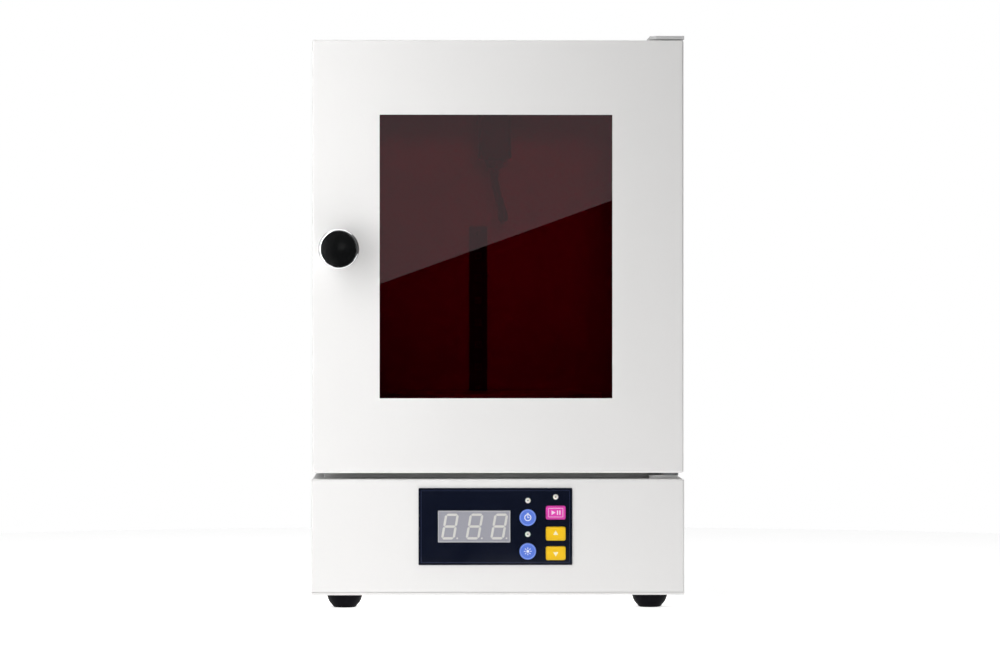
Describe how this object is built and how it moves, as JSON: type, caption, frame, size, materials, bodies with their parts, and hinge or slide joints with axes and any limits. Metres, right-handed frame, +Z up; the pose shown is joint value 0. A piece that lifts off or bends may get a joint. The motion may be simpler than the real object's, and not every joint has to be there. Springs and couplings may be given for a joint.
{
  "type": "dental lab light curing unit",
  "caption": "Bench cabinet that cures printed dental models with light: hinged door with a red filter window, mirror chamber with a turntable, control base with display and keys.",
  "frame": {"origin": "on the table, under the middle of the unit's overall box, knob and rocker included", "axes": "+Z up; the door faces -Y; +X is to the right of a person who looks at the door"},
  "size_m": [0.25, 0.2522, 0.3843],
  "materials": {
    "white_powder_coat": "fine satin powder coat on sheet steel",
    "zinc_sheet": "zinc plated sheet steel",
    "mirror_steel": "mirror polished stainless steel",
    "black_anodised": "black anodised aluminium",
    "lamp_chip": "cast silicone over ceramic",
    "steel_fastener": "zinc plated steel",
    "black_plastic": "moulded",
    "motor_can": "zinc plated drawn can",
    "panel_gloss": "glossy printed polycarbonate",
    "display_grey": "moulded face of a segment display",
    "display_segment": "milky epoxy, unlit",
    "board_green": "solder mask on glass laminate",
    "lamp_clear": "water clear epoxy, unlit",
    "psu_case": "stamped case",
    "foot_rubber": "moulded",
    "guard_wire": "bright plated wire",
    "key_blue": "moulded",
    "key_pink": "moulded",
    "key_yellow": "moulded",
    "filter_acrylic": "cast acrylic, deep red filter",
    "turntable_acrylic": "cast acrylic, clear",
    "gasket_silicone": "extruded silicone",
    "knob_chrome": "polished chrome plate",
    "knob_black": "polished, slightly domed",
    "bush_nylon": "turned nylon"
  },
  "bodies": {
    "cabinet": {"base_shell": "white_powder_coat", "base_bottom": "white_powder_coat", "base_back": "white_powder_coat", "rubber_feet": "foot_rubber", "foot_screws": "steel_fastener", "neck_plate": "white_powder_coat", "cabinet_shell": "white_powder_coat", "cabinet_floor": "zinc_sheet", "cabinet_front": "white_powder_coat", "cabinet_back": "white_powder_coat", "cover_screws": "steel_fastener", "liner_left": "mirror_steel", "liner_right": "mirror_steel", "liner_back": "mirror_steel", "liner_ceiling": "mirror_steel", "liner_floor": "mirror_steel", "led_bars": "black_anodised", "led_chips": "lamp_chip", "hinge_bracket_top": "white_powder_coat", "hinge_bracket_bottom": "white_powder_coat", "hinge_pins": "steel_fastener", "flat_screws": "steel_fastener", "magnet_catch": "black_plastic", "gearmotor": "motor_can", "hanger_housing": "black_plastic", "panel_face": "panel_gloss", "display_housing": "display_grey", "display_segments": "display_segment", "control_board": "board_green", "indicator_lamps": "lamp_clear", "tact_switches": "black_plastic", "power_supply": "psu_case", "power_inlet": "black_plastic", "inlet_pins": "steel_fastener", "rocker_housing": "black_plastic", "fan_frame": "black_plastic", "fan_guard": "guard_wire", "fan_screws": "steel_fastener"},
    "door": {"door_outer": "white_powder_coat", "door_inner": "white_powder_coat", "window_pane": "filter_acrylic", "pane_retainer": "zinc_sheet", "retainer_nuts": "steel_fastener", "door_gasket": "gasket_silicone", "knob_body": "knob_chrome", "knob_cap": "knob_black", "knob_screw": "steel_fastener", "strike_plate": "steel_fastener", "hinge_bushes": "bush_nylon"},
    "turntable": {"turntable_disc": "turntable_acrylic", "turntable_hub": "black_plastic", "drive_shaft": "steel_fastener"},
    "hanging_arm": {"hanging_arm": "black_anodised"},
    "fan_rotor": {"fan_rotor": "black_plastic"},
    "rocker": {"rocker": "black_plastic"},
    "key_timer": {"key_timer": "key_blue"},
    "key_mode": {"key_mode": "key_blue"},
    "key_run": {"key_run": "key_pink"},
    "key_up": {"key_up": "key_yellow"},
    "key_down": {"key_down": "key_yellow"}
  },
  "joints": [
    {"name": "door_hinge", "type": "hinge", "parent": "cabinet", "child": "door", "pos_m": [0.1155, -0.09207, 0.2362], "axis": [0, 0, 1], "range_deg": [0, 115]},
    {"name": "turntable_spin", "type": "hinge", "parent": "cabinet", "child": "turntable", "pos_m": [0, 0.01093, 0.1221], "axis": [0, 0, 1], "continuous": true},
    {"name": "hanging_arm_swivel", "type": "hinge", "parent": "cabinet", "child": "hanging_arm", "pos_m": [0, 0.01093, 0.2876], "axis": [0, 0, 1], "continuous": true},
    {"name": "fan_spin", "type": "hinge", "parent": "cabinet", "child": "fan_rotor", "pos_m": [0, 0.11173, 0.3199], "axis": [0, 1, 0], "continuous": true},
    {"name": "rocker_tilt", "type": "hinge", "parent": "cabinet", "child": "rocker", "pos_m": [0.028, 0.11943, 0.0482], "axis": [1, 0, 0], "range_deg": [0, 20]},
    {"name": "key_timer_press", "type": "slide", "parent": "cabinet", "child": "key_timer", "axis": [0, 1, 0], "range_m": [0, 0.0005], "stiffness_N_per_m": 400},
    {"name": "key_mode_press", "type": "slide", "parent": "cabinet", "child": "key_mode", "axis": [0, 1, 0], "range_m": [0, 0.0005], "stiffness_N_per_m": 400},
    {"name": "key_run_press", "type": "slide", "parent": "cabinet", "child": "key_run", "axis": [0, 1, 0], "range_m": [0, 0.0005], "stiffness_N_per_m": 400},
    {"name": "key_up_press", "type": "slide", "parent": "cabinet", "child": "key_up", "axis": [0, 1, 0], "range_m": [0, 0.0005], "stiffness_N_per_m": 400},
    {"name": "key_down_press", "type": "slide", "parent": "cabinet", "child": "key_down", "axis": [0, 1, 0], "range_m": [0, 0.0005], "stiffness_N_per_m": 400}
  ]
}
